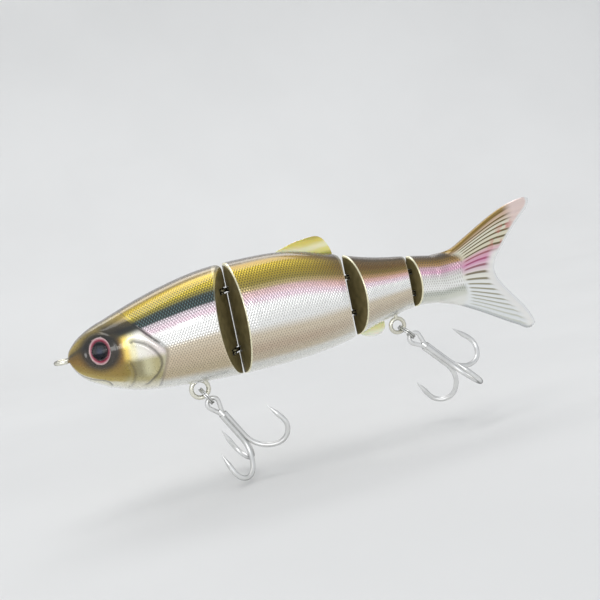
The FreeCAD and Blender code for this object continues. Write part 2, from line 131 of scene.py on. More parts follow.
class Form:
    """The fish's elliptical form: top, bottom and half width at any x, measured on the CAD shells.

    The samples are smoothed against the root of the distance from the nose, where a round nose is straight.
    """

    def __init__(self):
        rows = {"top": [], "bottom": [], "half": []}
        for t in np.arange(0.03, math.sqrt(BODY_END - NOSE), 0.0013):
            self.sample(NOSE + t * t, rows)
        self.grid = np.linspace(0, math.sqrt(BODY_END - NOSE), 900)
        self.curves = {}
        for name, samples in rows.items():
            at, values = np.array(samples).T
            at, values = np.append(at, 0), np.append(values, 0)
            self.curves[name] = smooth_samples(at, values, self.grid, 0.0028)

    def sample(self, x, rows):
        """Add one x-plane's measures. A ray beside the split plane misses the slots cut for the fins."""
        aside = 1.6 * MM if x > NOSE + 12 * MM else 0.3 * MM
        at = math.sqrt(x - NOSE)
        over = hit((x, -aside, FAR), (0, 0, -1))
        under = hit((x, -aside, -FAR), (0, 0, 1))
        if over is None or under is None:
            return
        middle, reach = (over.z + under.z) / 2, (over.z - under.z) / 2
        rows["top"].append((at, over.z))
        rows["bottom"].append((at, under.z))
        cheek = hit((x, -FAR, middle - 0.6 * reach), (0, 1, 0))
        cut_back = [abs(x - crest) < 14 * MM * slope + 0.6 * MM for crest, slope in ENDS.values()]
        if cheek is not None and not any(cut_back):
            rows["half"].append((at, -cheek.y / 0.8))

    def at(self, x):
        """(top, bottom, half width) at x, each an array like x."""
        t = np.sqrt(np.maximum(np.asarray(x) - NOSE, 0))
        return tuple(np.interp(t, self.grid, self.curves[name]) for name in ("top", "bottom", "half"))


FORM = Form()


def on_form(x, angle):
    """Points of the smooth body at x, at an angle from the back towards the fish's left."""
    top, bottom, half = FORM.at(x)
    middle, reach = (top + bottom) / 2, (top - bottom) / 2
    return np.stack([x + 0 * angle, -half * np.sin(angle), middle + reach * np.cos(angle)], -1)


def normalise(vectors):
    return vectors / np.maximum(np.linalg.norm(vectors, axis=-1, keepdims=True), 1e-12)


def bell(distance, width):
    return np.exp(-(distance / width) ** 2)


def ease(value, low, high):
    """0 below low, 1 above high, and smooth between."""
    share = np.clip((value - low) / (high - low), 0, 1)
    return share * share * (3 - 2 * share)


# Meshes

def new_piece(name, vertices, faces, body, materials, face_slots=None, smooth=True):
    """A mesh object from arrays, riding on a CAD body."""
    mesh = bpy.data.meshes.new(name)
    mesh.from_pydata(np.asarray(vertices).tolist(), [], [list(face) for face in faces])
    mesh.validate()
    piece = bpy.data.objects.new(name, mesh)
    bpy.context.scene.collection.objects.link(piece)
    for material in materials:
        mesh.materials.append(material)
    if face_slots is not None:
        mesh.polygons.foreach_set("material_index", np.asarray(face_slots, dtype=np.int32))
    mesh.polygons.foreach_set("use_smooth", [smooth] * len(mesh.polygons))
    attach(piece, body)
    return piece


def add_attribute(piece, name, values):
    attribute = piece.data.attributes.new(name, "FLOAT", "POINT")
    attribute.data.foreach_set("value", np.asarray(values, dtype=np.float32))


def ring_faces(rows, columns):
    """Quads of a grid whose rows close round."""
    row, column = np.meshgrid(np.arange(rows - 1), np.arange(columns), indexing="ij")
    after = (column + 1) % columns
    quads = np.stack([row * columns + column, row * columns + after,
                      (row + 1) * columns + after, (row + 1) * columns + column], -1)
    return quads.reshape(-1, 4)


def tube(path, frames, sections):
    """Vertices and faces of a closed sweep: one section (a ring of 2-D points) at each point of a path."""
    count = len(sections[0])
    vertices = [point + section[:, :1] * side + section[:, 1:] * up
                for point, (side, up), section in zip(path, frames, sections)]
    faces = [list(face) for face in ring_faces(len(path), count)]
    faces.append(list(range(count))[::-1])
    faces.append([(len(path) - 1) * count + index for index in range(count)])
    return np.concatenate(vertices), faces


def cutter(name, vertices, faces):
    mesh = bpy.data.meshes.new(name)
    mesh.from_pydata([tuple(vertex) for vertex in vertices], [], faces)
    item = bpy.data.objects.new(name, mesh)
    bpy.context.scene.collection.objects.link(item)
    return item


def disc_cutter(name, centre, axis, radius, low, high, sides=72, narrow=1):
    """A plug along an axis, between two distances from its centre: round, or narrower fore and aft."""
    axis = Vector(axis)
    rise = (Vector((0, 0, 1)) - axis * axis.z).normalized() if abs(axis.z) < 0.9 else Vector((0, 1, 0))
    side = rise.cross(axis)
    rings = []
    for height in (low, high):
        for number in range(sides):
            angle = 2 * math.pi * number / sides
            across = side * (narrow * float(radius) * math.cos(angle))
            rings.append(Vector(centre) + axis * height + across + rise * (float(radius) * math.sin(angle)))
    faces = [[n, (n + 1) % sides, sides + (n + 1) % sides, sides + n] for n in range(sides)]
    faces += [list(range(sides))[::-1], list(range(sides, 2 * sides))]
    return cutter(name, rings, faces)


def carve(piece, cutters):
    """Take closed cutters out of a closed piece."""
    for item in cutters:
        modifier = piece.modifiers.new("carve", "BOOLEAN")
        modifier.operation = "DIFFERENCE"
        modifier.solver = "MANIFOLD"
        modifier.object = item
    bpy.context.view_layer.update()
    result = bpy.data.meshes.new_from_object(piece.evaluated_get(bpy.context.evaluated_depsgraph_get()))
    piece.modifiers.clear()
    old = piece.data
    result.name = old.name
    piece.data = result
    bpy.data.meshes.remove(old)
    for item in cutters:
        bpy.data.objects.remove(item)


# Body skins

def end_x(segment, end, across, default):
    """The x of a segment's bevelled face at a distance from the middle plane."""
    if (segment, end) not in ENDS:
        return default + 0 * across
    crest, slope = ENDS[segment, end]
    return crest + (slope if end == "front" else -slope) * across


def edge_of(segment, end, angle, default):
    """The corner where the bevelled face meets the body's surface, one x for each angle."""
    x = end_x(segment, end, 0 * angle, default)
    for _ in range(12):
        across = np.abs(on_form(x, angle)[:, 1])
        x = end_x(segment, end, across, default)
    return x


CORNER_STEPS = 6         # rows round the corner between a segment's surface and its joint face
FACE_STEPS = 26          # rows from the corner in to the crest
CREST_SHARE = 0.99       # how near the crest's own line the last row comes
EDGE_RADIUS = 0.3 * MM
CREST_REACH = 0.13 * MM   # how far a crest stands out, so that little light shows between two crests
SPINE_SHARE = 0.75       # how far up and down its crest a joint face's rows spread


def face_rows(segment, end, angle):
    """The rows over a segment's rounded corner and in over its bevelled face, outermost first."""
    x = edge_of(segment, end, angle, 0)
    corner = on_form(x, angle)
    inward = 1 if end == "front" else -1
    along = normalise(on_form(x + inward * 0.5 * MM, angle) - corner)
    top, bottom, _ = FORM.at(ENDS[segment, end][0])
    middle, reach = (top + bottom) / 2, (top - bottom) / 2
    crest = ENDS[segment, end][0] - inward * CREST_REACH
    spine = np.stack([np.full_like(angle, crest), 0 * angle, middle + SPINE_SHARE * reach * np.cos(angle)], -1)
    across = normalise(spine - corner)
    crown = np.maximum(np.cos(angle), 0) ** 8 * (0.14 * reach if end == "rear" else 0.5 * MM)
    radius = np.minimum(EDGE_RADIUS + crown, 0.6 * np.linalg.norm(spine - corner, axis=1))[:, None]
    start, finish = corner + radius * along, corner + radius * across
    rows = []
    for share in np.linspace(0, 1, CORNER_STEPS + 1)[1:]:
        rows.append((1 - share) ** 2 * start + 2 * share * (1 - share) * corner + share ** 2 * finish)
    for share in (*np.linspace(0, 1, FACE_STEPS + 1)[1:-1], CREST_SHARE):
        rows.append(finish + share * (spine - finish))
    return rows, radius[:, 0]


def spine_cap(base, columns):
    """Quads across the crest that join each left column to its mirror image on the right."""
    half = columns // 2
    return [[base + n, base + n + 1, base + columns - 2 - n, base + columns - 1 - n]
            for n in range(half - 1)]


def surface_rows(segment, angle, start, finish):
    """The rows along the segment's outer surface, evenly spaced on its length."""
    count = max(12, int(float(np.max(finish - start)) / GRID))
    share = np.linspace(0, 1, count + 1)
    if segment == "head":
        share = share ** 2 * 0.35 + share * 0.65
        share[0] = share[1] * 0.25
    return [on_form(start + part * (finish - start), angle) for part in share]


def scale_relief(position, girth):
    """A lattice of small round scales, in metres of height."""
    along = np.cos(2 * math.pi * position / SCALE_LENGTH)
    around = np.cos(2 * math.pi * girth / SCALE_DEPTH)
    return 0.016 * MM * along * around


SCALE_LENGTH = 0.92 * MM
SCALE_DEPTH = 1.7 * MM


def curve_points(knots, steps=14):
    """A smooth curve through a few (x, z) knots in millimetres."""
    knots = np.array(knots) * MM
    padded = np.vstack([2 * knots[0] - knots[1], knots, 2 * knots[-1] - knots[-2]])
    result = []
    for a, b, c, d in zip(padded, padded[1:], padded[2:], padded[3:]):
        for share in np.linspace(0, 1, steps, endpoint=False):
            result.append(0.5 * (2 * b + (c - a) * share + (2 * a - 5 * b + 4 * c - d) * share ** 2
                                 + (3 * b - a - 3 * c + d) * share ** 3))
    return np.array(result + [knots[-1]])


def from_curve(x, z, curve):
    """Distance of surface points from a curve in side view, signed positive towards the tail or back."""
    nearest = np.full(len(x), np.inf)
    signed = np.zeros(len(x))
    for start, finish in zip(curve, curve[1:]):
        step = finish - start
        length = np.hypot(*step)
        offset_x, offset_z = x - start[0], z - start[1]
        share = np.clip((offset_x * step[0] + offset_z * step[1]) / length ** 2, 0, 1)
        distance = np.hypot(offset_x - share * step[0], offset_z - share * step[1])
        side = np.sign(offset_z * step[0] - offset_x * step[1])
        closer = distance < nearest
        nearest = np.where(closer, distance, nearest)
        signed = np.where(closer, side * distance, signed)
    return signed


# Moulded lines of the head in side view, in millimetres: (x, z) knots.
GILL_EDGE = curve_points([(20.6, 11.7), (23.2, 8.4), (25.4, 5.6), (28.4, 2.0), (31.6, -1.6), (31.9, -4.0),
                          (30.6, -8.0), (28.4, -13.4)])
GILL_RIB = curve_points([(22.4, 1.8), (25.6, 0.3), (28.0, -2.3), (29.2, -5.4), (28.0, -8.4), (24.3, -11.6)])
CHEEK_RIB = curve_points([(19.7, -4.0), (20.5, -7.1), (20.0, -9.6), (19.0, -11.3)])
MOUTH = curve_points([(1.6, -0.6), (2.5, -2.6), (4.4, -5.2), (7.4, -7.2), (11.0, -8.3), (12.8, -9.3), (13.6, -10.6)])
EYE = points("left_eye_disc").mean(axis=0)
EYE_OVAL = 0.8          # width of the eye's opening over its height


def head_relief(x, z):
    """The head's moulded relief in side view: (height in metres, painted shade along its moulded lines, 0 to 1)."""
    gill = from_curve(x, z, GILL_EDGE)
    rib = from_curve(x, z, GILL_RIB)
    cheek = from_curve(x, z, CHEEK_RIB)
    mouth = from_curve(x, z, MOUTH)
    eye = np.hypot(x - EYE[0], z - EYE[2])
    upper = ease(z, -2.5 * MM, 1.5 * MM)
    within = ease(-gill, 0, 0.9 * MM) * ease(gill, -7 * MM, -2 * MM)
    fade = ease(x, 13 * MM, 22 * MM) * ease(z, -15.5 * MM, -12 * MM) * (1 - ease(z, 5 * MM, 8.5 * MM))
    height = 0.28 * MM * within * fade
    height -= (0.25 + 0.35 * upper) * MM * bell(gill - 0.3 * MM, 0.5 * MM) * fade
    height += 0.42 * MM * bell(rib + 0.1 * MM, 0.5 * MM) - 0.45 * MM * bell(rib - 0.9 * MM, 0.55 * MM)
    height += 0.36 * MM * bell(cheek, 0.45 * MM) - 0.26 * MM * bell(cheek + 0.9 * MM, 0.6 * MM)
    height -= 0.30 * MM * bell(mouth, 0.35 * MM)
    height += 0.20 * MM * bell(mouth - 0.75 * MM, 0.55 * MM)
    height += 0.14 * MM * bell(mouth + 0.8 * MM, 0.6 * MM)
    height += 0.12 * MM * bell(eye - 5.2 * MM, 0.4 * MM) - 0.06 * MM * bell(eye - 5.9 * MM, 0.4 * MM)
    thin = 1 - 0.45 * ease(z, 5 * MM, 8 * MM)
    # The shade values are painted shade: darker along the gill edge, gill rib, cheek rib and mouth, where shade
    # falls in their grooves.
    shade = bell(gill - 0.3 * MM, 0.42 * thin * MM) * upper * (1 - 0.4 * ease(z, 6 * MM, 9 * MM))
    shade = np.maximum(shade, 0.7 * bell(rib - 0.8 * MM, 0.45 * MM))
    shade = np.maximum(shade, 0.4 * bell(cheek - 0.7 * MM, 0.4 * MM))
    shade = np.maximum(shade, 0.75 * bell(mouth, 0.25 * MM))
    shade = np.maximum(shade, 0.45 * bell(gill - 0.3 * MM, 0.5 * MM) * (1 - ease(z, 5 * MM, 7 * MM)))
    return height, shade


def girth_of(columns, angle, x):
    """Distance round the section at x, from the back to each column."""
    top, bottom, half = FORM.at(np.full(721, x))
    fine = np.linspace(0, 2 * math.pi, 721)
    ring = on_form(np.full(721, x), fine)
    length = np.concatenate([[0], np.cumsum(np.linalg.norm(np.diff(ring, axis=0), axis=1))])
    return np.interp(angle, fine, length)


def painted_corner_highlight(front, outer, rear):
    """How strongly each row takes the painted highlight on the corner's rim: the front corners' painted highlight is
    brighter than the rear ones'.
    """
    rim = np.zeros(front + outer + rear)
    if front:
        rim[front - CORNER_STEPS:front + 1] = 1
    if rear:
        rim[front + outer - 1:front + outer + CORNER_STEPS] = 0.35
    return rim


def make_skin(segment):
    """One body segment as a closed skin: outer surface, rounded corners and bevelled joint faces."""
    around = 2 * math.pi * (15 * MM)
    columns = 2 * int(around / GRID / 2)
    angle = 2 * math.pi * (np.arange(columns) + 0.5) / columns
    start = edge_of(segment, "front", angle, NOSE)
    finish = edge_of(segment, "rear", angle, BLADE_ROOT)
    front_rows = rear_rows = []
    if (segment, "front") in ENDS:
        front_rows, radius = face_rows(segment, "front", angle)
        start = start + radius
    if (segment, "rear") in ENDS:
        rear_rows, radius = face_rows(segment, "rear", angle)
        finish = finish - radius
    outer = surface_rows(segment, angle, start, finish)
    rows = front_rows[::-1] + outer + rear_rows
    grid = np.array(rows)
    outer_mask = np.zeros(len(rows))
    outer_mask[len(front_rows):len(front_rows) + len(outer)] = 1

    along = np.gradient(grid, axis=0)
    round_step = np.roll(grid, -1, axis=1) - np.roll(grid, 1, axis=1)
    normal = normalise(np.cross(round_step, along))
    x, z = grid[..., 0].ravel(), grid[..., 2].ravel()
    top, bottom, _ = FORM.at(x)
    band = np.clip((z - bottom) / (top - bottom), 0, 1)
    girth = np.tile(girth_of(columns, angle, 50 * MM), len(rows))
    mask = np.repeat(outer_mask, columns)
    scales = mask * ease(band, 0.10, 0.2) * (1 - ease(band, 0.9, 0.96))
    height = np.zeros(len(x))
    shade = np.zeros(len(x))
    gill = np.full(len(x), 10 * MM)
    if segment == "head":
        height, shade = head_relief(x, z)
        height *= mask
        gill = from_curve(x, z, GILL_EDGE)
        scales *= ease(gill, 0.6 * MM, 1.4 * MM)
    height = height + scales * scale_relief(x, girth)
    vertices = grid.reshape(-1, 3) + normal.reshape(-1, 3) * height[:, None]

    rim = painted_corner_highlight(len(front_rows), len(outer), len(rear_rows))
    faces = ring_faces(len(rows), columns)
    painted = outer_mask + (rim > 0)
    slots = np.where(np.repeat(painted[:-1] * painted[1:], columns) > 0, 0, 1)
    faces, slots = list(faces), list(slots)
    last = (len(rows) - 1) * columns
    if front_rows:
        caps = [face[::-1] for face in spine_cap(0, columns)]
        faces += caps
        slots += [1] * len(caps)
    else:
        faces.append(list(range(columns))[::-1])
        slots.append(0)
    if rear_rows:
        caps = spine_cap(last, columns)
        faces += caps
        slots += [1] * len(caps)
    else:
        faces.append([last + n for n in range(columns)])
        slots.append(0)
    skin = new_piece(f"{segment}_skin", vertices, faces, segment, [FOIL, JOINT_FACE], slots)
    for name, values in (("band", band), ("girth", girth), ("scales", scales), ("painted_groove_shade", shade),
                         ("gill", gill), ("rim", np.repeat(rim, columns))):
        add_attribute(skin, name, values)
    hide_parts(*halves(segment))
    return skin


def joint_cutters(joint):
    """The two flat slots in a front segment's rear face, measured on the CAD shells."""
    pin = points(f"joint_{joint}_pin").mean(axis=0)
    found = []
    for level in ("upper", "lower"):
        height = points(f"joint_{joint}_{level}_eye")[:, 2].mean()
        inside = (pin[0] - 2.6 * MM, -0.2 * MM, height)
        half = hit(inside, (0, 0, 1)).z - height
        radius = pin[0] - hit(inside, (-1, 0, 0)).x
        found.append(disc_cutter(f"slot_{joint}_{level}", (pin[0], 0, height), (0, 0, 1), radius, -half, half))
    return found


def notch_cutters(joint):
    """The shallow notches where the hinge eyes enter the rear segment."""
    found = []
    for level in ("upper", "lower"):
        low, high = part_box(f"joint_{joint}_{level}_eye")
        crest = ENDS[dict((n, r) for n, _, r in JOINTS)[joint], "front"][0]
        height = (low.z + high.z) / 2
        found.append(disc_cutter(f"notch_{joint}_{level}", (crest, 0, height), (0, 0, 1),
                                 2.0 * MM, -1.05 * MM, 1.05 * MM))
    return found


def eye_axis(side):
    """The centre and outward normal of an eye disc, from its CAD mesh."""
    cloud = points(f"{side}_eye_disc")
    centre = cloud.mean(axis=0)
    normal = np.linalg.eigh(np.cov((cloud - centre).T))[1][:, 0]
    return centre, normal * np.sign(normal[1] * centre[1])


def socket_cutter(side):
    centre, normal = eye_axis(side)
    cloud = points(f"{side}_eye_disc") - centre
    radius = np.linalg.norm(cloud - np.outer(cloud @ normal, normal), axis=1).max() + 0.05 * MM
    return disc_cutter(f"{side}_socket", centre, normal, radius, -0.5 * MM, 6 * MM, sides=96, narrow=EYE_OVAL)


# Materials

class Nodes:
    """A short way to write a material's node tree."""

    def __init__(self, name):
        self.material = bpy.data.materials.new(name)
        self.material.use_nodes = True
        self.tree = self.material.node_tree
        self.shader = self.tree.nodes["Principled BSDF"]

    def add(self, kind, **inputs):
        item = self.tree.nodes.new(kind)
        for name, value in inputs.items():
            self.set(item.inputs[name.replace("_", " ")], value)
        return item

    def set(self, socket, value):
        if isinstance(value, bpy.types.NodeSocket):
            self.tree.links.new(value, socket)
        else:
            socket.default_value = value

    def maths(self, operation, *values, clamp=False):
        item = self.tree.nodes.new("ShaderNodeMath")
        item.operation = operation
        item.use_clamp = clamp
        for socket, value in zip(item.inputs, values):
            self.set(socket, value)
        return item.outputs[0]

    def vectors(self, operation, first, second):
        item = self.tree.nodes.new("ShaderNodeVectorMath")
        item.operation = operation
        self.set(item.inputs[0], first)
        self.set(item.inputs[1], second)
        return item.outputs["Value" if operation == "DOT_PRODUCT" else "Vector"]

    def attribute(self, name):
        item = self.tree.nodes.new("ShaderNodeAttribute")
        item.attribute_name = name
        return item.outputs["Fac"]

    def place(self):
        """The object's own X, Y and Z, in metres."""
        coordinates = self.tree.nodes.new("ShaderNodeTexCoord").outputs["Object"]
        split = self.tree.nodes.new("ShaderNodeSeparateXYZ")
        self.set(split.inputs[0], coordinates)
        return coordinates, split.outputs

    def between(self, value, low, high):
        """0 below low, 1 above high, smooth between."""
        item = self.tree.nodes.new("ShaderNodeMapRange")
        item.interpolation_type = "SMOOTHSTEP"
        for name, number in (("Value", value), ("From Min", low), ("From Max", high)):
            self.set(item.inputs[name], number)
        return item.outputs["Result"]

    def between_linear(self, value, low, high):
        return self.maths("DIVIDE", self.maths("SUBTRACT", value, low), high - low, clamp=True)

    def ramp(self, value, stops):
        """A colour ramp from (position, colour) stops."""
        item = self.tree.nodes.new("ShaderNodeValToRGB")
        item.color_ramp.interpolation = "EASE"
        elements = item.color_ramp.elements
        while len(elements) < len(stops):
            elements.new(0.5)
        for element, (position, colour) in zip(elements, stops):
            element.position = position
            element.color = (*linear(colour), 1)
        self.set(item.inputs[0], value)
        return item.outputs["Color"]

    def blend(self, share, low, high, how="MIX"):
        item = self.tree.nodes.new("ShaderNodeMix")
        item.data_type = "RGBA"
        item.blend_type = how
        self.set(item.inputs[0], share)
        for socket, value in ((item.inputs[6], low), (item.inputs[7], high)):
            self.set(socket, value if isinstance(value, bpy.types.NodeSocket) else (*linear(value), 1))
        return item.outputs[2]

    def noise(self, scale, detail=3, stretch=(1, 1, 1)):
        coordinates, _ = self.place()
        mapping = self.tree.nodes.new("ShaderNodeMapping")
        mapping.inputs["Scale"].default_value = stretch
        self.set(mapping.inputs["Vector"], coordinates)
        item = self.add("ShaderNodeTexNoise", Scale=scale, Detail=detail)
        self.set(item.inputs["Vector"], mapping.outputs[0])
        return item.outputs["Fac"]

    def bump(self, height, distance, strength=1.0):
        item = self.add("ShaderNodeBump", Height=height, Distance=distance, Strength=strength)
        self.set(self.shader.inputs["Normal"], item.outputs[0])

    def finish(self, **inputs):
        for name, value in inputs.items():
            self.set(self.shader.inputs[name.replace("_", " ")], value)
        return self.material


def linear(colour):
    """A screen colour, as three 0 to 255 values, in the renderer's linear light."""
    shares = [channel / 255 for channel in colour]
    return tuple(share / 12.92 if share <= 0.04045 else ((share + 0.055) / 1.055) ** 2.4 for share in shares)


PEARL = (232, 232, 226)
CHAMPAGNE = (222, 208, 184)
SILVER = (250, 250, 247)
LILAC = (234, 210, 220)
TEAL = (26, 48, 50)
GOLD = (202, 180, 54)
BROWN_GOLD = (120, 88, 30)
BACK_GREY = (112, 102, 92)


def foil_material():
    """Printed foil under clear coat: bands of gold, pink and pearl over a lattice of scales, with painted shade in
    the head's grooves and painted highlights on the corners and the teal scales.
    """
    n = Nodes("printed_foil_and_painted_light")
    _, place = n.place()
    band = n.attribute("band")
    wobble = n.maths("MULTIPLY", n.maths("SUBTRACT", n.noise(60, 4, (0.25, 1, 1)), 0.5), 0.04)
    height = n.maths("ADD", band, wobble)
    front = n.ramp(height, [
        (0.00, PEARL), (0.07, PEARL), (0.15, (204, 188, 156)), (0.30, (216, 198, 170)), (0.42, CHAMPAGNE),
        (0.50, SILVER), (0.60, SILVER), (0.66, LILAC), (0.71, (214, 200, 206)), (0.745, TEAL),
        (0.80, TEAL), (0.835, (150, 138, 56)), (0.87, GOLD), (0.94, (196, 168, 50)),
        (0.965, (150, 130, 84)), (1.0, BACK_GREY)])
    middle = n.ramp(height, [
        (0.00, PEARL), (0.08, PEARL), (0.14, (206, 192, 168)), (0.22, (204, 184, 160)), (0.33, CHAMPAGNE),
        (0.44, SILVER), (0.59, SILVER), (0.65, LILAC), (0.71, (230, 194, 194)), (0.755, (196, 176, 116)),
        (0.79, (166, 148, 62)), (0.84, (186, 162, 46)), (0.91, (202, 176, 48)), (0.95, (156, 126, 44)),
        (0.975, (112, 98, 74)), (1.0, BACK_GREY)])
    back = n.ramp(height, [
        (0.00, PEARL), (0.08, PEARL), (0.15, (212, 204, 186)), (0.24, (208, 194, 172)), (0.36, CHAMPAGNE),
        (0.47, SILVER), (0.56, SILVER), (0.63, LILAC), (0.69, (230, 184, 176)), (0.74, (196, 156, 110)),
        (0.79, (142, 116, 52)), (0.86, BROWN_GOLD), (0.92, (104, 78, 28)), (0.955, (84, 68, 40)),
        (0.975, (96, 84, 72)), (1.0, BACK_GREY)])
    colour = n.blend(n.between(place[0], 0.052, 0.058), front, middle)
    colour = n.blend(n.between(place[0], 0.078, 0.100), colour, back)
    # The scales: dark dots between bright diamonds, strongest on the back and flank.
    along = n.maths("COSINE", n.maths("MULTIPLY", place[0], 2 * math.pi / SCALE_LENGTH))
    around = n.maths("COSINE", n.maths("MULTIPLY", n.attribute("girth"), 2 * math.pi / SCALE_DEPTH))
    lattice = n.maths("MULTIPLY", along, around)
    scales = n.attribute("scales")
    dots = n.maths("MULTIPLY", n.between(lattice, -0.1, -0.8), scales)
    depth = n.maths("MULTIPLY", dots, n.ramp_value(height))
    colour = n.blend(depth, colour, (62, 50, 32))
    # Painted highlight: lighter teal glints on the scales' middles, in the teal band of the front segments.
    teal = n.maths("MULTIPLY", n.between(height, 0.71, 0.75), n.between(height, 0.84, 0.80))
    teal = n.maths("MULTIPLY", teal, n.between(place[0], 0.058, 0.052))
    glint = n.maths("MULTIPLY", n.between(lattice, 0.2, 0.8), scales)
    colour = n.blend(n.maths("MULTIPLY", glint, teal), colour, (112, 136, 134))

    head = n.between(n.attribute("gill"), 0.0002, -0.0004)
    colour = n.blend(head, colour, head_colour(n, place, height))
    # Painted shade in the head's moulded lines: dark brown blended in, and less metallic there.
    painted_groove_shade = n.attribute("painted_groove_shade")
    colour = n.blend(painted_groove_shade, colour, (44, 34, 22))
    # Painted highlight: a pale cream line along the rounded corners beside the joint faces.
    colour = n.blend(n.between(n.attribute("rim"), 0.1, 1.0), colour, (246, 240, 206))
    n.bump(n.maths("MULTIPLY", lattice, scales), 0.0001, 0.6)
    rough = n.maths("ADD", 0.24, n.maths("MULTIPLY", n.noise(900, 2), 0.08))
    shine = n.maths("SUBTRACT", 0.72, n.maths("MULTIPLY", head, 0.3))
    metallic = n.maths("MULTIPLY", shine, n.maths("SUBTRACT", 1, painted_groove_shade))
    return n.finish(Base_Color=colour, Metallic=metallic, Roughness=rough, Coat_Weight=1.0,
                    Coat_Roughness=0.04, Coat_IOR=1.5)


def head_colour(n, place, height):
    """The smooth head: dark eye patch, gold snout and cheek, cream gill cover and pale jaw."""
    x, z = place[0], place[2]
    across = n.maths("SUBTRACT", x, float(EYE[0]))
    up = n.maths("SUBTRACT", z, float(EYE[2]))
    eye = n.maths("SQRT", n.maths("ADD", n.maths("MULTIPLY", across, across), n.maths("MULTIPLY", up, up)))
    face = n.ramp(height, [
        (0.0, PEARL), (0.10, (228, 224, 202)), (0.15, (176, 156, 84)), (0.24, (150, 124, 46)),
        (0.45, (138, 104, 34)), (0.62, (120, 92, 34)), (0.76, (84, 72, 42)), (0.86, (150, 128, 62)),
        (0.93, (178, 154, 74)), (0.975, (158, 144, 104)), (1.0, BACK_GREY)])
    crown = n.ramp(height, [
        (0.0, PEARL), (0.08, (228, 224, 204)), (0.17, (176, 166, 118)), (0.30, (150, 142, 98)),
        (0.67, (150, 142, 98)), (0.745, (62, 66, 50)), (0.785, (50, 54, 42)), (0.83, (122, 104, 40)),
        (0.88, (190, 158, 46)), (0.955, (170, 146, 70)), (1.0, BACK_GREY)])
    cheek = n.ramp(n.between_linear(x, 0.0150, 0.0320), [
        (0.0, (104, 74, 18)), (0.16, (170, 124, 30)), (0.28, (250, 218, 112)), (0.40, (255, 248, 204)),
        (0.52, (255, 252, 240)), (0.85, (246, 236, 230)), (1.0, (234, 222, 218))])
    cover = n.ramp(n.between_linear(x, 0.0150, 0.0320), [
        (0.0, (120, 94, 26)), (0.25, (150, 130, 52)), (0.45, (150, 142, 104)), (0.62, (206, 200, 160)),
        (0.8, (188, 178, 128)), (1.0, (206, 200, 172))])
    cheek = n.blend(n.between(z, -0.0020, -0.0045), cheek, cover)
    plate = n.blend(n.maths("MULTIPLY", n.between(height, 0.16, 0.24), n.between(height, 0.76, 0.68)),
                    crown, cheek)
    colour = n.blend(n.between(x, 0.0160, 0.0200), face, plate)
    patch = n.maths("MULTIPLY", n.between(eye, 0.0080, 0.0048), 0.94)
    trail_height = n.maths("SUBTRACT", up, n.maths("MULTIPLY", across, 0.10))
    trail = n.maths("MULTIPLY",
                    n.maths("MULTIPLY", n.between(trail_height, 0.0022, 0.0046),
                            n.between(trail_height, 0.0092, 0.0060)),
                    n.maths("MULTIPLY", n.between(x, 0.0085, 0.0150), n.between(x, 0.0360, 0.0180)))
    dark = n.maths("MAXIMUM", patch, n.maths("MULTIPLY", trail, 0.92))
    return n.blend(dark, colour, (18, 18, 17))


def ramp_value(self, height):
    """How strongly the dark dots show at each height."""
    return self.maths("ADD", 0.46, self.maths("MULTIPLY", self.between(height, 0.68, 0.8), 0.4))


Nodes.ramp_value = ramp_value


def joint_face_material():
    n = Nodes("joint_face")
    grain = n.noise(420, 5)
    colour = n.ramp(grain, [(0.25, (104, 94, 60)), (0.7, (132, 120, 82))])
    n.bump(grain, 0.00005, 0.5)
    return n.finish(Base_Color=colour, Roughness=0.42, Metallic=0.15, Coat_Weight=0.35, Coat_Roughness=0.2)


def steel_material(name, light, dark, rough):
    n = Nodes(name)
    grain = n.noise(700, 4)
    blotch = n.noise(90, 3)
    colour = n.ramp(blotch, [(0.3, dark), (0.7, light)])
    # Painted shade: the colour darkens where the surface turns away from the view, towards the outlines.
    facing = n.add("ShaderNodeLayerWeight", Blend=0.5).outputs["Facing"]
    colour = n.blend(n.between(facing, 0.35, 1.0), colour, tuple(0.35 * channel for channel in dark))
    roughness = n.maths("ADD", rough, n.maths("MULTIPLY", grain, 0.14))
    n.bump(grain, 0.00002, 0.35)
    return n.finish(Base_Color=colour, Metallic=1.0, Roughness=roughness)


def plain_material(name, low, high, scale, **inputs):
    """A moulded or cast material with a fine grain between two colours."""
    n = Nodes(name)
    grain = n.noise(scale, 4)
    n.bump(grain, 0.00002, 0.3)
    return n.finish(Base_Color=n.ramp(grain, [(0.3, low), (0.7, high)]), **inputs)


def eye_distance(n, side):
    """Distance from an eye's axis, stretched so that lines of equal distance are ovals, in metres."""
    centre, normal = eye_axis(side)
    rise = normalise(np.array((0.0, 0.0, 1.0)) - normal * normal[2])
    coordinates, _ = n.place()
    offset = n.vectors("SUBTRACT", coordinates, tuple(centre))
    parts = []
    for direction, scale in ((np.cross(rise, normal), 1 / EYE_OVAL), (rise, 1)):
        part = n.maths("MULTIPLY", n.vectors("DOT_PRODUCT", offset, tuple(direction)), scale)
        parts.append(n.maths("MULTIPLY", part, part))
    return n.maths("SQRT", n.maths("ADD", *parts))


def iris_material(side):
    n = Nodes(f"{side}_iris")
    share = n.maths("DIVIDE", eye_distance(n, side), 0.0044)
    rays = n.maths("MULTIPLY", n.maths("SUBTRACT", n.noise(1500, 2), 0.5), 0.06)
    colour = n.ramp(n.maths("ADD", share, rays), [
        (0.58, (10, 13, 26)), (0.65, (24, 14, 28)), (0.71, (140, 20, 52)), (0.79, (176, 50, 82)),
        (0.86, (208, 132, 148)), (0.94, (232, 204, 204)), (1.0, (196, 160, 156))])
    return n.finish(Base_Color=colour, Metallic=0.2, Roughness=0.35)


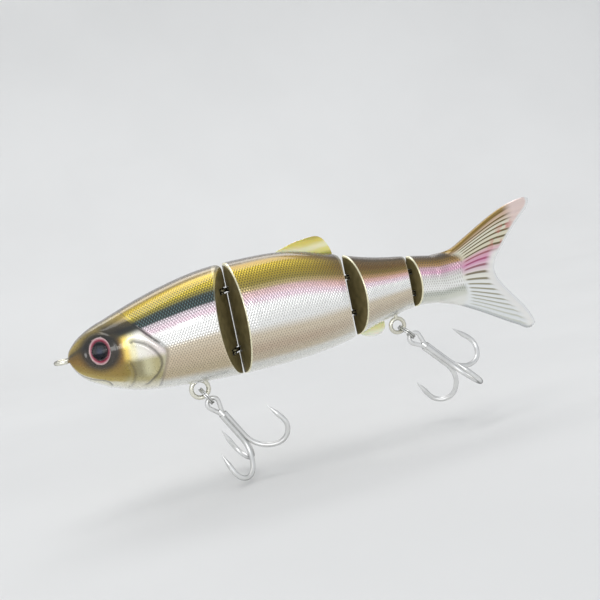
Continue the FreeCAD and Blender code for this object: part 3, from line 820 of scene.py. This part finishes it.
def pupil_material(side):
    """Black with a painted highlight, a soft navy glint, at its middle."""
    n = Nodes(f"{side}_pupil")
    grain = n.maths("MULTIPLY", n.maths("SUBTRACT", n.noise(900, 2), 0.5), 0.08)
    share = n.maths("ADD", n.maths("DIVIDE", eye_distance(n, side), 0.003), grain)
    colour = n.ramp(share, [(0.0, (66, 82, 108)), (0.22, (44, 56, 80)), (0.5, (12, 15, 28)), (1.0, (5, 6, 10))])
    return n.finish(Base_Color=colour, Roughness=0.6, Specular_IOR_Level=0)


def dome_material():
    n = Nodes("clear_dome")
    grain = n.noise(200, 2)
    rough = n.maths("MULTIPLY", grain, 0.02)
    return n.finish(Base_Color=(1, 1, 1, 1), Roughness=rough, Transmission_Weight=1.0, IOR=1.25)


def fin_material(name, stops):
    """Translucent yellow plastic whose colour changes from the bottom of a fin to its top, painted shade and painted
    highlight included.
    """
    n = Nodes(f"{name}_tint")
    low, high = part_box(name)
    _, place = n.place()
    level = n.between_linear(place[2], low.z, high.z)
    grain = n.maths("MULTIPLY", n.maths("SUBTRACT", n.noise(160, 3, (0.4, 1, 2)), 0.5), 0.25)
    colour = n.ramp(n.maths("ADD", level, grain), stops)
    n.bump(n.noise(120, 3, (0.4, 1, 2)), 0.0001, 0.25)
    return n.finish(Base_Color=colour, Roughness=0.12, Transmission_Weight=0.35, IOR=1.49,
                    Subsurface_Weight=0.3, Subsurface_Scale=0.002, Coat_Weight=1.0, Coat_Roughness=0.05)


FOIL = foil_material()
JOINT_FACE = joint_face_material()


# The tail segment

def trace(direction, sweep, span, tree):
    """Where rays along one axis first meet the tail just off its middle plane, as (x, z) points."""
    aside = -0.2 * MM
    found = []
    for place in np.linspace(*span, 260):
        start = (place, aside, -direction * FAR) if sweep == "x" else (BLADE_ROOT + 2 * FAR, aside, place)
        ray = (0, 0, direction) if sweep == "x" else (-1, 0, 0)
        point = hit(start, ray, tree)
        if point is not None:
            found.append((point.x, point.z))
    return np.array(found)


def resample(curve, shares):
    """Points of a polyline at shares of its length."""
    length = np.concatenate([[0], np.cumsum(np.hypot(*np.diff(curve, axis=0).T))])
    return np.stack([np.interp(shares * length[-1], length, axis) for axis in curve.T], -1)


def ease_corner(curve):
    """An edge evenly spaced along its length, its corner at the root rounded off."""
    curve = resample(curve, np.linspace(0, 1, 241))
    smooth = curve
    for _ in range(400):
        smooth = np.vstack([smooth[:1], (smooth[:-2] + 2 * smooth[1:-1] + smooth[2:]) / 4, smooth[-1:]])
    share = ease(np.linspace(0, 1, 241), 0.35, 0.6)[:, None]
    return smooth * (1 - share) + curve * share


class Blade:
    """The forked fin's outline and thickness, measured on the CAD tail."""

    def __init__(self):
        self.tree = search_tree(*halves("tail"))
        low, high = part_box("tail_shell_left")
        trailing = trace(0, "z", (low.z + 0.05 * MM, high.z - 0.05 * MM), self.tree)
        upper_tip = int(np.argmax(trailing[:, 0] + trailing[:, 1]))
        lower_tip = int(np.argmax(trailing[:, 0] - trailing[:, 1]))
        self.trailing = trailing[lower_tip:upper_tip + 1]
        inset = 0.02 * MM
        self.upper = trace(-1, "x", (BLADE_ROOT, trailing[upper_tip][0] - inset), self.tree)
        self.lower = trace(1, "x", (BLADE_ROOT, trailing[lower_tip][0] - inset), self.tree)
        top, bottom, _ = FORM.at(BLADE_ROOT)
        self.upper = ease_corner(np.vstack([(BLADE_ROOT, top), self.upper, trailing[upper_tip]]))
        self.lower = ease_corner(np.vstack([(BLADE_ROOT, bottom), self.lower, trailing[lower_tip]]))

    def patch(self, along, across):
        """Points between the four edges, at shares from root to fork and from lower to upper edge."""
        upper = resample(self.upper, along)[:, None]
        lower = resample(self.lower, along)[:, None]
        behind = resample(self.trailing, across)[None]
        u, v = along[:, None, None], across[None, :, None]
        root = lower[:1] * (1 - v) + upper[:1] * v
        corners = ((1 - v) * (lower[0] * (1 - u) + lower[-1] * u) + v * (upper[0] * (1 - u) + upper[-1] * u))
        return (1 - u) * root + u * behind + (1 - v) * lower + v * upper - corners

    def thickness(self, x, z):
        """Half the CAD tail's thickness at each point, found by rays from its left side."""
        out = np.full(x.shape, np.nan)
        for place in np.ndindex(x.shape):
            point = hit((x[place], -FAR, z[place]), (0, 1, 0), self.tree)
            if point is not None:
                out[place] = -point.y
        for row in out:
            known = ~np.isnan(row)
            row[~known] = np.interp(np.flatnonzero(~known), np.flatnonzero(known), row[known])
        return out


def blur(field, passes):
    """Average a grid with its neighbours, keeping its border rows."""
    for _ in range(passes):
        padded = np.pad(field, 1, mode="edge")
        field = (padded[1:-1, 1:-1] * 2 + padded[:-2, 1:-1] + padded[2:, 1:-1]
                 + padded[1:-1, :-2] + padded[1:-1, 2:]) / 6
    return field


def rounded(distance, radius):
    """The profile of a rounded edge: 0 at the edge, 1 a radius inside it."""
    return np.sqrt(np.maximum(1 - (1 - np.minimum(distance / radius, 1)) ** 2, 0))


def blade_half(blade, columns):
    """One side's grid of the fin: positions, half thickness, rib height, and what its colours need."""
    across = (1 + np.cos(2 * math.pi * (np.arange(columns // 2) + 0.5) / columns)) / 2
    rows = int(41 * MM / GRID / 1.15)
    along = np.linspace(0, 1, rows + 1)[1:]
    place = blade.patch(along, across)
    x, z = place[..., 0], place[..., 1]
    flat = (x.ravel(), z.ravel())
    top_gap = np.abs(from_curve(*flat, blade.upper[::6])).reshape(x.shape)
    low_gap = np.abs(from_curve(*flat, blade.lower[::6])).reshape(x.shape)
    end_gap = np.abs(from_curve(*flat, blade.trailing[::4])).reshape(x.shape)
    gap = np.minimum(np.minimum(top_gap, low_gap), end_gap)
    half = blur(blade.thickness(x, z), 14)
    body = np.sin(2 * np.arcsin(np.sqrt(across)))[None] * FORM.at(np.minimum(x, BLADE_ROOT))[2]
    fade = ease(along, 0, 0.16)[:, None]
    plate = half * (0.5 * rounded(gap, 0.55 * MM) + 0.5 * rounded(gap, 3.2 * MM))
    half = body * (1 - fade) + plate * fade
    upper_half = ease(across, 0.42, 0.55)[None]
    start = 0.11 + 0.12 * (1 - across)[None] + 0.26 * np.sin(np.pi * across)[None]
    u = along[:, None] + 0 * x
    fin = ease(u, start - 0.05, start + 0.03)
    fan = ease(u, start, start + 0.08) * ease(gap, 0.5 * MM, 1.2 * MM)
    fan = fan * (upper_half + (1 - upper_half) * ease(end_gap, 2.0 * MM, 4.2 * MM))
    wave = np.cos(2 * math.pi * RIBS * across)[None] + 0 * x
    ridge = 0.5 + 0.5 * wave
    half = half + fan * (ridge ** 1.5 - 0.5) * 0.2 * MM
    return place, half, {"fin": fin, "fan": fan, "ridge": ridge, "across": across[None] + 0 * x, "along": u,
                         "top_gap": top_gap, "end_gap": end_gap, "low_gap": low_gap}


RIBS = 20


def make_tail():
    """The tail segment with its forked fin, as one closed skin."""
    columns = 2 * int(2 * math.pi * 12 * MM / GRID / 2)
    angle = 2 * math.pi * (np.arange(columns) + 0.5) / columns
    front_rows, radius = face_rows("tail", "front", angle)
    start = edge_of("tail", "front", angle, NOSE) + radius
    body_rows = surface_rows("tail", angle, start, np.full(columns, BLADE_ROOT))
    place, half, looks = blade_half(Blade(), columns)
    left = np.stack([place[..., 0], -half, place[..., 1]], -1)
    right = np.stack([place[..., 0], half, place[..., 1]], -1)[:, ::-1]
    fin_rows = np.concatenate([left, right], axis=1)
    grid = np.concatenate([front_rows[::-1], body_rows, fin_rows])
    body_count, face_count = len(body_rows), len(front_rows)

    along = np.gradient(grid, axis=0)
    round_step = np.roll(grid, -1, axis=1) - np.roll(grid, 1, axis=1)
    normal = normalise(np.cross(round_step, along)).reshape(-1, 3)
    x, z = grid[..., 0].ravel(), grid[..., 2].ravel()
    top, bottom, _ = FORM.at(x)
    band = np.clip((z - bottom) / (top - bottom), 0, 1)
    girth = np.tile(girth_of(columns, angle, BLADE_ROOT - 6 * MM), len(grid))
    shown = np.zeros(grid.shape[:2])
    shown[face_count:] = 1
    fields = {name: np.zeros(grid.shape[:2]) for name in looks}
    for name, values in looks.items():
        fields[name][face_count + body_count:] = np.concatenate([values, values[:, ::-1]], axis=1)
    for name in ("top_gap", "end_gap", "low_gap"):
        fields[name][:face_count + body_count] = fields[name][face_count + body_count]
    on_fin = fields["fin"].ravel()
    scales = shown.ravel() * (1 - on_fin) * ease(band, 0.1, 0.2)
    vertices = grid.reshape(-1, 3) + normal * (scales * scale_relief(x, girth))[:, None]

    rim = painted_corner_highlight(face_count, len(grid) - face_count, 0)
    faces = list(ring_faces(len(grid), columns))
    painted = shown[:, 0] + (rim > 0)
    slots = list(np.where(np.repeat(painted[:-1] * painted[1:], columns) > 0, 0, 1))
    front_caps = [face[::-1] for face in spine_cap(0, columns)]
    rear_caps = spine_cap((len(grid) - 1) * columns, columns)
    faces += front_caps + rear_caps
    slots += [1] * len(front_caps) + [0] * len(rear_caps)
    skin = new_piece("tail_skin", vertices, faces, "tail", [tail_material(), JOINT_FACE], slots)
    fields = {name: values.ravel() for name, values in fields.items()}
    fields.update(band=band, girth=girth, scales=scales, rim=np.repeat(rim, columns))
    for name, values in fields.items():
        add_attribute(skin, name, values)
    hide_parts(*halves("tail"))
    return skin


# Fins

def make_fin(name, body, edge_share, stops):
    """A translucent fin with a lens-shaped section, from the outline of its CAD plate."""
    cloud = points(name)
    side = cloud[cloud[:, 1] < -0.5 * MM][:, (0, 2)]
    centre = (side.min(axis=0) + side.max(axis=0)) / 2
    turn = np.arctan2(side[:, 1] - centre[1], side[:, 0] - centre[0])
    order = np.argsort(turn)
    outline = side[order]
    reach = np.hypot(*(outline - centre).T)
    even = np.linspace(-math.pi, math.pi, 241)[:-1]
    reach = np.interp(even, turn[order], reach, period=2 * math.pi)
    half = -cloud[:, 1].min()
    rim = centre + reach[:, None] * np.stack([np.cos(even), np.sin(even)], -1)
    shares = np.sin(np.linspace(0, math.pi / 2, 22)[1:])[::-1]
    rings = []
    for side_sign in (-1, 1):
        for share in (shares if side_sign < 0 else shares[::-1][:-1]):
            flat = centre + share * (rim - centre)
            lens = math.sqrt(max(1 - share ** 4, 0)) * edge_share + (1 - edge_share) * (1 - share ** 2)
            rings.append(np.column_stack([flat[:, 0], np.full(len(flat), side_sign * half * lens), flat[:, 1]]))
    rings = rings[:len(shares)][::-1] + rings[len(shares):][::-1]
    vertices = np.concatenate(rings)
    faces = [list(face) for face in ring_faces(len(rings), len(rim))]
    last = (len(rings) - 1) * len(rim)
    faces += [list(range(len(rim)))[::-1], [last + n for n in range(len(rim))]]
    fin = new_piece(f"{name}_lens", vertices, faces, body, [fin_material(name, stops)])
    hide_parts(name)
    return fin


# Split rings

COIL_HALF = 0.36 * MM       # half the flattened wire's width across the ring
COIL_RISE = 0.33 * MM       # half its height along the ring's axis
COIL_PITCH = 0.69 * MM


def make_split_ring(where):
    """Two turns of flattened spring wire with tapered free ends and one crossover."""
    name = f"{where}_split_ring"
    cloud = points(name)
    centre = cloud.mean(axis=0)
    spread, axes = np.linalg.eigh(np.cov((cloud - centre).T))
    axis = axes[:, 0] * np.sign(axes[2, 0])
    across = np.array((0.0, 1.0, 0.0))
    onward = np.cross(across, axis)
    outer = np.linalg.norm((cloud - centre) - np.outer((cloud - centre) @ axis, axis), axis=1).max()
    radius = outer - COIL_HALF - 0.02 * MM
    cross, gap = math.radians(24), math.radians(5)
    turns = np.linspace(cross + gap, 4 * math.pi - cross - gap, 420)
    path, frames, sections = [], [], []
    ring = np.linspace(0, 2 * math.pi, 17)[:-1]
    corner = 0.62
    outline = np.stack([np.sign(np.cos(ring)) * np.abs(np.cos(ring)) ** corner * COIL_HALF,
                        np.sign(np.sin(ring)) * np.abs(np.sin(ring)) ** corner * COIL_RISE], -1)
    for turn in turns:
        outward = math.cos(turn) * across + math.sin(turn) * onward
        lift = (ease(turn, 2 * math.pi - cross, 2 * math.pi + cross) - 0.5) * COIL_PITCH
        to_end = min(turn - turns[0], turns[-1] - turn)
        path.append(centre + radius * outward + lift * axis)
        frames.append((outward, axis))
        sections.append(outline * (0.55 + 0.45 * ease(to_end, 0, 0.18)))
    vertices, faces = tube(path, frames, sections)
    coil = new_piece(f"{where}_split_coil", vertices, faces, f"{where}_ring", [RING_STEEL])
    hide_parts(name)
    return coil


# Stage

def make_stage():
    """A pale floor that curves up into a wall behind the lure."""
    low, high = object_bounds()
    floor = low.z - 1 * MM if hasattr(low, "z") else low[2] - 1 * MM
    profile = [(-0.9, floor), (0.35, floor)]
    for step in range(1, 13):
        turn = math.pi / 2 * step / 12
        profile.append((0.35 + 0.25 * math.sin(turn), floor + 0.25 * (1 - math.cos(turn))))
    profile.append((0.6, 1.6))
    vertices = [(x, y, z) for y, z in profile for x in (-1.6, 1.8)]
    faces = [(2 * n, 2 * n + 1, 2 * n + 3, 2 * n + 2) for n in range(len(profile) - 1)]
    mesh = bpy.data.meshes.new("backdrop")
    mesh.from_pydata(vertices, [], faces)
    mesh.polygons.foreach_set("use_smooth", [True] * len(mesh.polygons))
    mesh.materials.append(plain_material("backdrop", (222, 222, 221), (226, 226, 225), 8, Roughness=0.9))
    backdrop = bpy.data.objects.new("backdrop", mesh)
    bpy.context.scene.collection.objects.link(backdrop)


def area_light(name, place, target, size, power, colour=(1, 1, 1)):
    data = bpy.data.lights.new(name, "AREA")
    data.shape = "RECTANGLE"
    data.size, data.size_y = size
    data.energy = power
    data.color = colour
    item = bpy.data.objects.new(name, data)
    item.location = place
    item.rotation_euler = (Vector(target) - Vector(place)).to_track_quat("-Z", "Y").to_euler()
    bpy.context.scene.collection.objects.link(item)


def make_lights():
    aim = (0.084, 0, 0)
    area_light("key", (-0.3, -0.85, 0.2), aim, (0.8, 0.16), 1.5)
    area_light("top", (0.05, 0.05, 0.95), aim, (1.0, 0.4), 2.6)
    area_light("catch", (0.05, -0.75, 0.17), aim, (0.05, 0.11), 0.5)
    area_light("back", (0.1, 0.55, 0.7), aim, (0.9, 0.3), 1.8)
    world = bpy.data.worlds.new("studio")
    world.use_nodes = True
    world.node_tree.nodes["Background"].inputs["Color"].default_value = (0.75, 0.77, 0.8, 1)
    world.node_tree.nodes["Background"].inputs["Strength"].default_value = 0.85
    bpy.context.scene.world = world
    bpy.context.scene.view_settings.view_transform = "Standard"


def make_camera():
    """Look from the lure's left, a little ahead of and above it, with the lure's tail tilted up."""
    ahead, above, roll = math.radians(13.5), math.radians(7), math.radians(-11.5)
    back = Vector((-math.sin(ahead) * math.cos(above), -math.cos(ahead) * math.cos(above), math.sin(above)))
    level = Vector((math.cos(ahead), -math.sin(ahead), 0))
    rise = back.cross(level)
    right = level * math.cos(roll) + rise * math.sin(roll)
    up = rise * math.cos(roll) - level * math.sin(roll)
    data = bpy.data.cameras.new("camera")
    data.lens = 71
    data.shift_x, data.shift_y = -0.019, 0.0065
    data.clip_start = 0.01
    item = bpy.data.objects.new("camera", data)
    place = Vector((0.0844, 0, 0)) + 0.4 * back
    item.matrix_world = Matrix.Translation(place) @ Matrix((right, up, back)).transposed().to_4x4()
    bpy.context.scene.collection.objects.link(item)
    bpy.context.scene.camera = item


# Materials of the pieces that stay as the CAD made them

def tail_material():
    """The tail's finish: the body's bands, then a fan of pale ribs with gold, pink and red touches, with painted
    shade in the rib valleys and along the lower edge, and painted highlights along the trailing edge and the front
    corners.
    """
    n = Nodes("tail_finish")
    _, place = n.place()
    band = n.attribute("band")
    body = n.ramp(band, [
        (0.0, PEARL), (0.12, (214, 216, 204)), (0.22, (196, 200, 190)), (0.32, SILVER), (0.5, (236, 236, 230)),
        (0.58, (226, 214, 216)), (0.66, (226, 176, 200)), (0.74, (224, 184, 196)), (0.80, (188, 148, 96)),
        (0.87, (140, 108, 46)), (0.94, (92, 72, 36)), (0.975, (84, 76, 68)), (1.0, (112, 106, 100))])
    across, along = n.attribute("across"), n.attribute("along")
    fan, ridge = n.attribute("fan"), n.attribute("ridge")
    behind = n.attribute("end_gap")
    fin = n.ramp(across, [
        (0.0, (236, 239, 239)), (0.36, (240, 242, 241)), (0.46, (240, 238, 226)), (0.52, (232, 204, 214)),
        (0.57, (226, 160, 192)), (0.63, (226, 176, 190)), (0.69, (228, 220, 192)), (0.84, (232, 228, 206)),
        (0.95, (214, 186, 160)), (1.0, (180, 150, 90))])
    # Painted shade: darker colours in the valleys between the ribs.
    shaded_valley = n.ramp(across, [
        (0.0, (214, 216, 206)), (0.36, (160, 156, 130)), (0.48, (132, 120, 98)), (0.56, (176, 84, 124)),
        (0.62, (170, 100, 110)), (0.68, (104, 92, 56)), (0.86, (112, 98, 52)), (1.0, (120, 92, 30))])
    fin = n.blend(n.maths("MULTIPLY", n.between(ridge, 0.5, 0.12), fan), fin, shaded_valley)
    fin = n.blend(n.maths("MULTIPLY", n.between(behind, 0.0045, 0.0015), n.between(across, 0.66, 0.60)),
                  fin, (244, 242, 238))
    edge = n.attribute("top_gap")
    gold = n.maths("MULTIPLY", n.between(edge, 0.0020, 0.0007), n.between(along, 0.98, 0.55))
    fin = n.blend(gold, fin, (138, 108, 26))
    # Painted shade: a thin grey line just inside the lower lobe's edge.
    lower_edge_shade = n.maths("MULTIPLY", n.between(n.attribute("low_gap"), 0.0013, 0.0004), n.between(across, 0.6, 0.4))
    fin = n.blend(n.maths("MULTIPLY", lower_edge_shade, 0.6), fin, (150, 154, 154))
    patches = n.between(n.noise(300, 2, (1, 0.2, 1)), 0.50, 0.62)
    red = n.maths("MULTIPLY", n.maths("MULTIPLY", patches, n.between(across, 0.62, 0.68)),
                  n.between(behind, 0.0065, 0.0025))
    fin = n.blend(n.maths("MULTIPLY", red, 0.8), fin, (206, 112, 104))
    tip = n.maths("MULTIPLY", n.between(place[0], 0.1575, 0.1625), n.between(across, 0.5, 0.7))
    fin = n.blend(tip, fin, (236, 214, 206))
    colour = n.blend(n.attribute("fin"), body, fin)
    # Painted highlight: a pale line along the fin's trailing edge.
    rim = n.maths("MULTIPLY", n.between(n.attribute("end_gap"), 0.0016, 0.0006), n.attribute("fin"))
    colour = n.blend(rim, colour, (240, 241, 240))

    along_scale = n.maths("COSINE", n.maths("MULTIPLY", place[0], 2 * math.pi / SCALE_LENGTH))
    around = n.maths("COSINE", n.maths("MULTIPLY", n.attribute("girth"), 2 * math.pi / SCALE_DEPTH))
    lattice = n.maths("MULTIPLY", along_scale, around)
    scales = n.attribute("scales")
    dots = n.maths("MULTIPLY", n.between(lattice, -0.1, -0.8), scales)
    colour = n.blend(n.maths("MULTIPLY", dots, n.ramp_value(band)), colour, (90, 74, 56))
    # Painted highlight: a pale cream line along the rounded corners beside the joint face.
    colour = n.blend(n.between(n.attribute("rim"), 0.1, 1.0), colour, (246, 240, 206))
    n.bump(n.maths("MULTIPLY", lattice, scales), 0.0001, 0.6)
    return n.finish(Base_Color=colour, Metallic=0.55, Roughness=0.24, Coat_Weight=1.0, Coat_Roughness=0.04)


def paint(name, material):
    """Give a CAD node its material and smooth shading between its sharp edges."""
    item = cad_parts[name]
    item.data.materials.clear()
    item.data.materials.append(material)
    item.data.polygons.foreach_set("use_smooth", [True] * len(item.data.polygons))
    item.data.set_sharp_from_angle(angle=math.radians(32))


def paint_frame():
    wire = steel_material("drawn_steel", (238, 236, 222), (216, 212, 196), 0.2)
    # A darker copy of the steel for the hinge pins and eyes: painted shade, for their place inside the slots.
    wire_in_shade = steel_material("hinge_wire_painted_dark", (120, 114, 92), (92, 86, 66), 0.3)
    hook = steel_material("tinned_hook", (248, 248, 247), (226, 226, 224), 0.3)
    lead = plain_material("cast_lead", (86, 87, 90), (112, 113, 116), 500, Metallic=0.6, Roughness=0.6)
    dome = dome_material()
    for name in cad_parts:
        if name.startswith("joint_"):
            paint(name, wire_in_shade)
        elif name.endswith("_hanger") or name == "line_tie":
            paint(name, wire)
        elif name.endswith("_hook"):
            paint(name, hook)
        elif name.endswith("_weight"):
            paint(name, lead)
        elif name.endswith("_pupil"):
            paint(name, pupil_material(name.split("_")[0]))
        elif name.endswith("_dome"):
            paint(name, dome)
        elif name.endswith("_eye_disc"):
            paint(name, iris_material(name.split("_")[0]))


# The dorsal fin's yellow, with painted shade towards its base and a painted highlight band across its middle.
DORSAL_TINT_AND_PAINTED_LIGHT = [(0.0, (120, 114, 30)), (0.25, (180, 174, 60)), (0.45, (246, 238, 140)), (0.62, (255, 252, 215)),
               (0.82, (232, 220, 110)), (1.0, (184, 172, 66))]
# The anal fin's pale yellow, whiter towards its bottom edge: a painted highlight.
ANAL_TINT_AND_PAINTED_LIGHT = [(0.0, (250, 250, 246)), (0.2, (246, 246, 226)), (0.5, (232, 230, 166)), (1.0, (206, 202, 110))]
RING_STEEL = steel_material("ring_nickel", (226, 226, 224), (188, 188, 184), 0.14)

for name in SEGMENTS[:3]:
    skin = make_skin(name)
    cutters = [item for joint, front, rear in JOINTS if front == name for item in joint_cutters(joint)]
    cutters += [item for joint, front, rear in JOINTS if rear == name for item in notch_cutters(joint)]
    if name == "head":
        cutters += [socket_cutter("left"), socket_cutter("right")]
    carve(skin, cutters)
carve(make_tail(), notch_cutters(3))
make_fin("dorsal_fin", "mid", 0.45, DORSAL_TINT_AND_PAINTED_LIGHT)
make_fin("anal_fin", "rear", 0.7, ANAL_TINT_AND_PAINTED_LIGHT)
make_split_ring("front")
make_split_ring("rear")
paint_frame()
make_stage()
make_lights()
make_camera()
